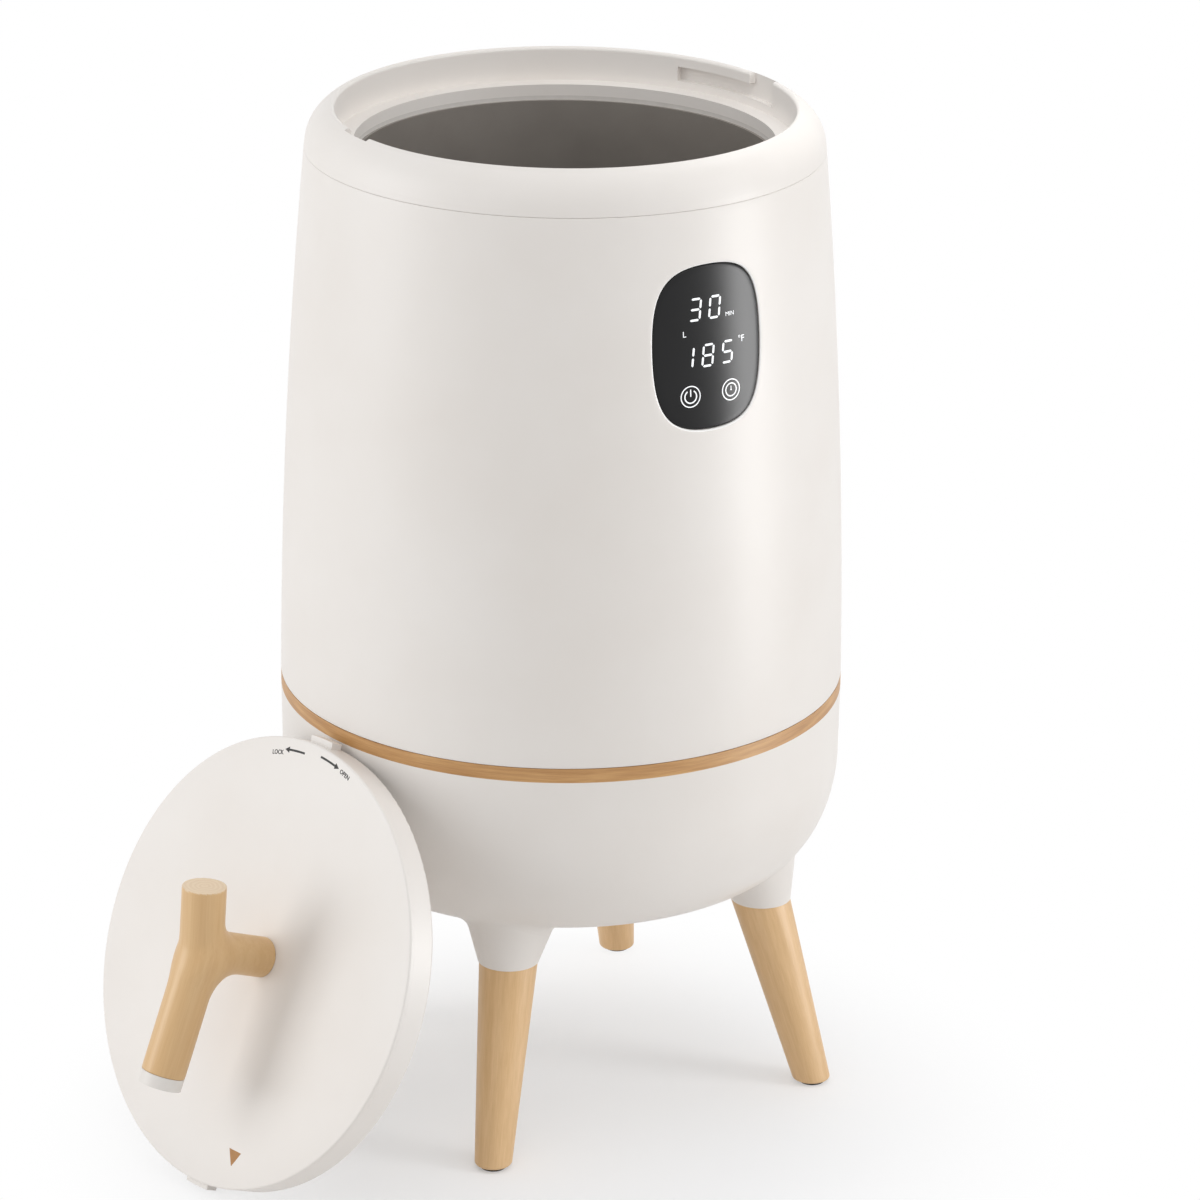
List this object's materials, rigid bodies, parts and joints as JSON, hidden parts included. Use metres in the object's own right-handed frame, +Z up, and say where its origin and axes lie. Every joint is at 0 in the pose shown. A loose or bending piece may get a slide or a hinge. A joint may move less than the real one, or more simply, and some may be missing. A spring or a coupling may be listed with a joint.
{
  "type": "towel warmer bucket",
  "caption": "Free-standing bucket towel warmer: tapered shell on splayed wooden legs, heated pot, curved touch panel with display, and a loose twist-lock lid with a branch-shaped handle.",
  "frame": {"origin": "on the bucket's vertical axis, at floor level, in the plane of the foot pads' undersides", "axes": "+Z up along the bucket; the control panel faces -Y; the mains inlet faces +Y; the loose lid leans at the -X side"},
  "size_m": [0.4608, 0.3218, 0.5754],
  "materials": {
    "shell_white": "fine satin, injection moulded",
    "trim_wood_film": "wood-look film on a plastic strip",
    "pot_coating": "grey-brown satin coating on drawn aluminium",
    "beech_wood": "oiled beech",
    "branch_wood": "peeled, oiled branch",
    "lens_smoke": "smoked gloss acrylic",
    "black_rubber": "matt",
    "grey_silicone": "matt",
    "cap_white": "satin",
    "black_plastic": "satin",
    "screw_steel": "zinc plated",
    "chassis_steel": "galvanised",
    "heater_foil": "aluminium foil over silicone",
    "felt": "needled felt",
    "board_green": "solder resist on glass epoxy",
    "relay_blue": "moulded case",
    "coil_yellow": "taped coil on a ferrite core",
    "capacitor_sleeve": "shrink sleeve",
    "terminal_green": "moulded block",
    "brass": "plain",
    "lead_red": "silicone insulation",
    "lead_white": "silicone insulation",
    "ribbon_grey": "flat ribbon cable",
    "digit_black": "display block with a smoked face"
  },
  "bodies": {
    "bucket": {"base_cover": "shell_white", "base_screws": "screw_steel", "board_capacitor": "capacitor_sleeve", "board_relay": "relay_blue", "board_screws": "screw_steel", "board_standoffs": "black_plastic", "board_terminals": "terminal_green", "board_transformer": "coil_yellow", "body_shell": "shell_white", "chassis_plate": "chassis_steel", "chassis_screws": "screw_steel", "control_lens": "lens_smoke", "cutout_bracket": "chassis_steel", "display_board": "board_green", "display_cable": "ribbon_grey", "display_housing": "black_plastic", "display_screws": "screw_steel", "foot_pads": "black_rubber", "heater_leads": "lead_white", "heating_band": "heater_foil", "inlet_pins": "brass", "inner_pot": "pot_coating", "insulation_wrap": "felt", "leg_front_left": "beech_wood", "leg_front_right": "beech_wood", "leg_inserts": "brass", "leg_rear_left": "beech_wood", "leg_rear_right": "beech_wood", "leg_studs": "screw_steel", "lens_seal": "black_rubber", "lower_shell": "shell_white", "pot_gasket": "grey_silicone", "pot_rest_pads": "grey_silicone", "pot_screws": "screw_steel", "power_board": "board_green", "power_inlet": "black_plastic", "rim_ring": "shell_white", "sensor_clip": "chassis_steel", "shell_screws": "screw_steel", "supply_leads": "lead_red", "temperature_digit_module": "digit_black", "temperature_sensor": "chassis_steel", "thermal_cutout": "black_plastic", "time_digit_module": "digit_black", "touch_spring_left": "screw_steel", "touch_spring_right": "screw_steel", "trim_band": "trim_wood_film"},
    "lid": {"lid_skirt": "shell_white", "lid_face": "shell_white", "lid_liner": "shell_white", "lid_gasket": "grey_silicone", "lid_screws": "screw_steel", "lid_insulation": "felt", "handle_washer": "screw_steel", "handle_bolt": "screw_steel", "branch_handle": "branch_wood", "handle_cap": "cap_white"}
  },
  "joints": [
    {"name": "lid_lift_off", "type": "slide", "parent": "bucket", "child": "lid", "axis": [-0.986, -0.1668, 0], "range_m": [0, 0.35]}
  ]
}
